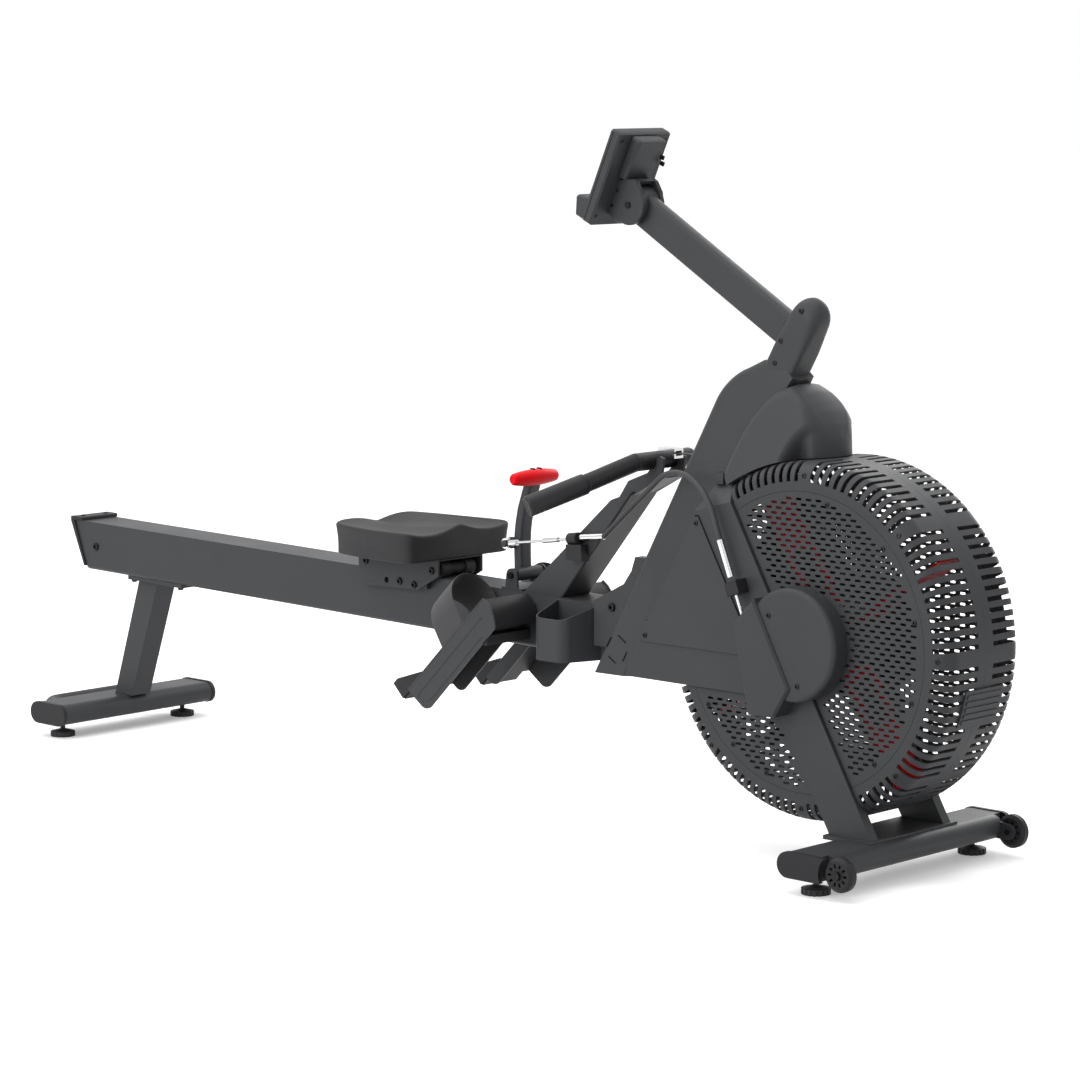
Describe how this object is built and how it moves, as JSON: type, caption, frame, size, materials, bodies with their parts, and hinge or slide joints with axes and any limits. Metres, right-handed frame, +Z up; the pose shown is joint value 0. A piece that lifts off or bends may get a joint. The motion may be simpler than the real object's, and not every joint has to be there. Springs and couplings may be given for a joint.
{
  "type": "rowing machine",
  "caption": "Air-resistance rowing machine with a caged fan, sliding seat on a long rail, pull handle, resistance lever, footplates and a monitor on an arm.",
  "frame": {"origin": "on the floor, midway between the fan rim and the rear lift handle, on the machine's centre plane", "axes": "+X along the rail towards the fan, +Y away from the side seen in the picture, +Z up"},
  "size_m": [2.344, 0.5338, 1.2534],
  "materials": {
    "frame_paint": "satin charcoal powder coat",
    "cage_plastic": "fine moulded grain",
    "black_plastic": "fine moulded grain",
    "carriage_paint": "satin black paint",
    "soft_rubber": "matt",
    "seat_skin": "soft moulded skin with a fine grain",
    "handle_paint": "satin black",
    "red_plastic": "smooth red",
    "bright_steel": "bright plated",
    "plain_steel": "dark plated",
    "cable_jacket": "smooth grey jacket",
    "black_webbing": "flat woven webbing",
    "grey_webbing": "wide pale woven webbing",
    "screen_glass": "dark display window"
  },
  "bodies": {
    "frame": {"cable_clamps": "black_plastic", "cable_ferrules": "bright_steel", "cable_sheath": "cable_jacket", "cover_screws": "plain_steel", "cup_holder": "black_plastic", "end_stop": "black_plastic", "fan_axle": "plain_steel", "fan_cage_far": "cage_plastic", "fan_cage_near": "cage_plastic", "foot_caps": "black_plastic", "foot_straps": "grey_webbing", "footplates": "black_plastic", "frame_bolts": "plain_steel", "front_base": "frame_paint", "grille_far": "cage_plastic", "grille_near": "cage_plastic", "handle_post": "frame_paint", "hub_cover_far": "cage_plastic", "hub_cover_near": "cage_plastic", "lever_bracket": "frame_paint", "lift_handle": "frame_paint", "mast": "frame_paint", "monitor_arm": "frame_paint", "neck": "frame_paint", "nose_cover": "cage_plastic", "pivot_pins": "plain_steel", "rail": "frame_paint", "rear_foot": "frame_paint", "rear_leg": "frame_paint", "rim_pad": "soft_rubber", "side_frame_far": "frame_paint", "side_frame_near": "frame_paint", "triangle_covers": "cage_plastic", "wheel_bolts": "plain_steel"},
    "fan": {"fan_rotor": "red_plastic"},
    "reel": {"strap_reel": "black_plastic"},
    "monitor": {"monitor_case": "black_plastic", "monitor_screen": "screen_glass"},
    "handle": {"handle_bar": "handle_paint", "handle_grips": "soft_rubber", "handle_clevis": "bright_steel", "pull_strap": "black_webbing"},
    "lever": {"lever_tube": "frame_paint", "lever_grip": "red_plastic"},
    "lever_link": {"lever_rod": "bright_steel"},
    "hub_rod": {"lower_rod": "bright_steel"},
    "heel_near": {"heel_cup_near": "black_plastic"},
    "heel_far": {"heel_cup_far": "black_plastic"},
    "seat": {"seat_cushion": "seat_skin", "seat_carriage": "carriage_paint", "seat_axles": "plain_steel", "seat_bolts": "plain_steel"},
    "rollers_front": {"seat_rollers_front": "soft_rubber"},
    "rollers_rear": {"seat_rollers_rear": "soft_rubber"},
    "wheel_near": {"transport_wheel_near": "black_plastic"},
    "wheel_far": {"transport_wheel_far": "black_plastic"},
    "foot_front_near": {"levelling_foot_front_near": "soft_rubber"},
    "foot_front_far": {"levelling_foot_front_far": "soft_rubber"},
    "foot_rear_near": {"levelling_foot_rear_near": "soft_rubber"},
    "foot_rear_far": {"levelling_foot_rear_far": "soft_rubber"}
  },
  "joints": [
    {"name": "fan_spin", "type": "hinge", "parent": "frame", "child": "fan", "pos_m": [0.863, 0, 0.395], "axis": [0, 1, 0], "continuous": true},
    {"name": "handle_pull", "type": "slide", "parent": "frame", "child": "handle", "axis": [-1, 0, 0], "range_m": [0, 1.2], "stiffness_N_per_m": 6, "springref_m": -0.5},
    {"name": "reel_turn", "type": "hinge", "parent": "frame", "child": "reel", "pos_m": [0.762, 0, 0.745], "axis": [0, 1, 0], "range_deg": [-10, 2310]},
    {"name": "monitor_tilt", "type": "hinge", "parent": "frame", "child": "monitor", "pos_m": [0.395, 0, 1.122], "axis": [0, 1, 0], "range_deg": [-20, 20]},
    {"name": "lever_swing", "type": "hinge", "parent": "frame", "child": "lever", "pos_m": [0.119, 0, 0.433], "axis": [0, 1, 0], "range_deg": [-10, 10]},
    {"name": "lever_link_turn", "type": "hinge", "parent": "lever", "child": "lever_link", "pos_m": [0.096, -0.03, 0.4895], "axis": [0, 1, 0], "range_deg": [-11, 11]},
    {"name": "hub_rod_slide", "type": "slide", "parent": "frame", "child": "hub_rod", "axis": [0.3804, 0, -0.9248], "range_m": [-0.011, 0.011]},
    {"name": "heel_near_slide", "type": "slide", "parent": "frame", "child": "heel_near", "axis": [0.7143, 0, 0.6998], "range_m": [0, 0.055]},
    {"name": "heel_far_slide", "type": "slide", "parent": "frame", "child": "heel_far", "axis": [0.7143, 0, 0.6998], "range_m": [0, 0.055]},
    {"name": "seat_roll", "type": "slide", "parent": "frame", "child": "seat", "axis": [0.9998, 0, -0.0187], "range_m": [-0.83, 0.1]},
    {"name": "rollers_front_turn", "type": "hinge", "parent": "seat", "child": "rollers_front", "pos_m": [-0.071, 0, 0.42483], "axis": [0, 1, 0], "range_deg": [-3200, 400]},
    {"name": "rollers_rear_turn", "type": "hinge", "parent": "seat", "child": "rollers_rear", "pos_m": [-0.249, 0, 0.42816], "axis": [0, 1, 0], "range_deg": [-3200, 400]},
    {"name": "wheel_near_spin", "type": "hinge", "parent": "frame", "child": "wheel_near", "pos_m": [1.06, -0.239, 0.046], "axis": [0, 1, 0], "continuous": true},
    {"name": "wheel_far_spin", "type": "hinge", "parent": "frame", "child": "wheel_far", "pos_m": [1.06, 0.239, 0.046], "axis": [0, 1, 0], "continuous": true},
    {"name": "foot_front_near_turn", "type": "hinge", "parent": "frame", "child": "foot_front_near", "pos_m": [0.989, -0.216, 0], "axis": [0, 0, 1], "continuous": true},
    {"name": "foot_front_far_turn", "type": "hinge", "parent": "frame", "child": "foot_front_far", "pos_m": [0.989, 0.216, 0], "axis": [0, 0, 1], "continuous": true},
    {"name": "foot_rear_near_turn", "type": "hinge", "parent": "frame", "child": "foot_rear_near", "pos_m": [-1.045, -0.162, 0], "axis": [0, 0, 1], "continuous": true},
    {"name": "foot_rear_far_turn", "type": "hinge", "parent": "frame", "child": "foot_rear_far", "pos_m": [-1.045, 0.162, 0], "axis": [0, 0, 1], "continuous": true}
  ],
  "couplings": [
    {"joint": "reel_turn", "follows": "handle_pull", "rad_per_m": 33.333},
    {"joint": "lever_link_turn", "follows": "lever_swing", "ratio": -1},
    {"joint": "hub_rod_slide", "follows": "lever_swing", "m_per_rad": 0.058},
    {"joint": "rollers_front_turn", "follows": "seat_roll", "rad_per_m": 66.667},
    {"joint": "rollers_rear_turn", "follows": "seat_roll", "rad_per_m": 66.667}
  ]
}
